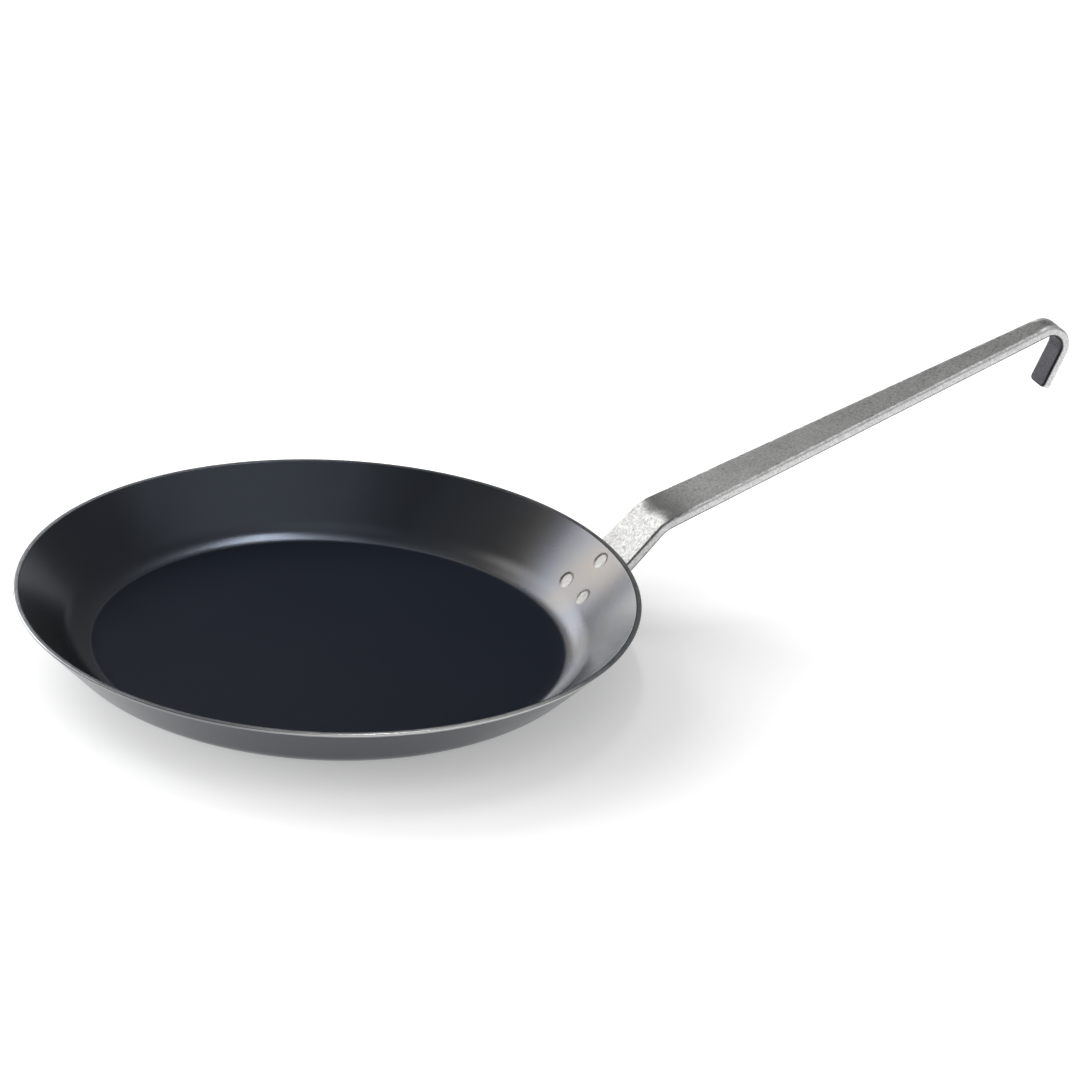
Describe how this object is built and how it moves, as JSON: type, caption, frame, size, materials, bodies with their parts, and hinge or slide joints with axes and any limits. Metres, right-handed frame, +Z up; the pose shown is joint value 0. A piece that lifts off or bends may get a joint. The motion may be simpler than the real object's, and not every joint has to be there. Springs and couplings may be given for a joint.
{
  "type": "frying pan",
  "caption": "Shallow round iron frying pan with a flat floor, a flared wall and a long tapered strip handle, riveted to the wall and bent into an open hook at its end for hanging.",
  "frame": {"origin": "centre of the pan's flat underside, where it stands on the hob", "axes": "+X from the pan's centre towards the handle and its hook, +Z up"},
  "size_m": [0.504, 0.28, 0.116],
  "materials": {
    "pan_iron": "blue-black pressed sheet iron with a smooth dull sheen",
    "handle_iron": "matt grey blasted strip iron with bright edges",
    "rivet_iron": "dark satin iron, hammered flush and a little dished inside the pan"
  },
  "bodies": {
    "root": {"pan_body": "pan_iron", "handle": "handle_iron", "rivet_upper": "rivet_iron", "rivet_lower_left": "rivet_iron", "rivet_lower_right": "rivet_iron"}
  },
  "joints": []
}
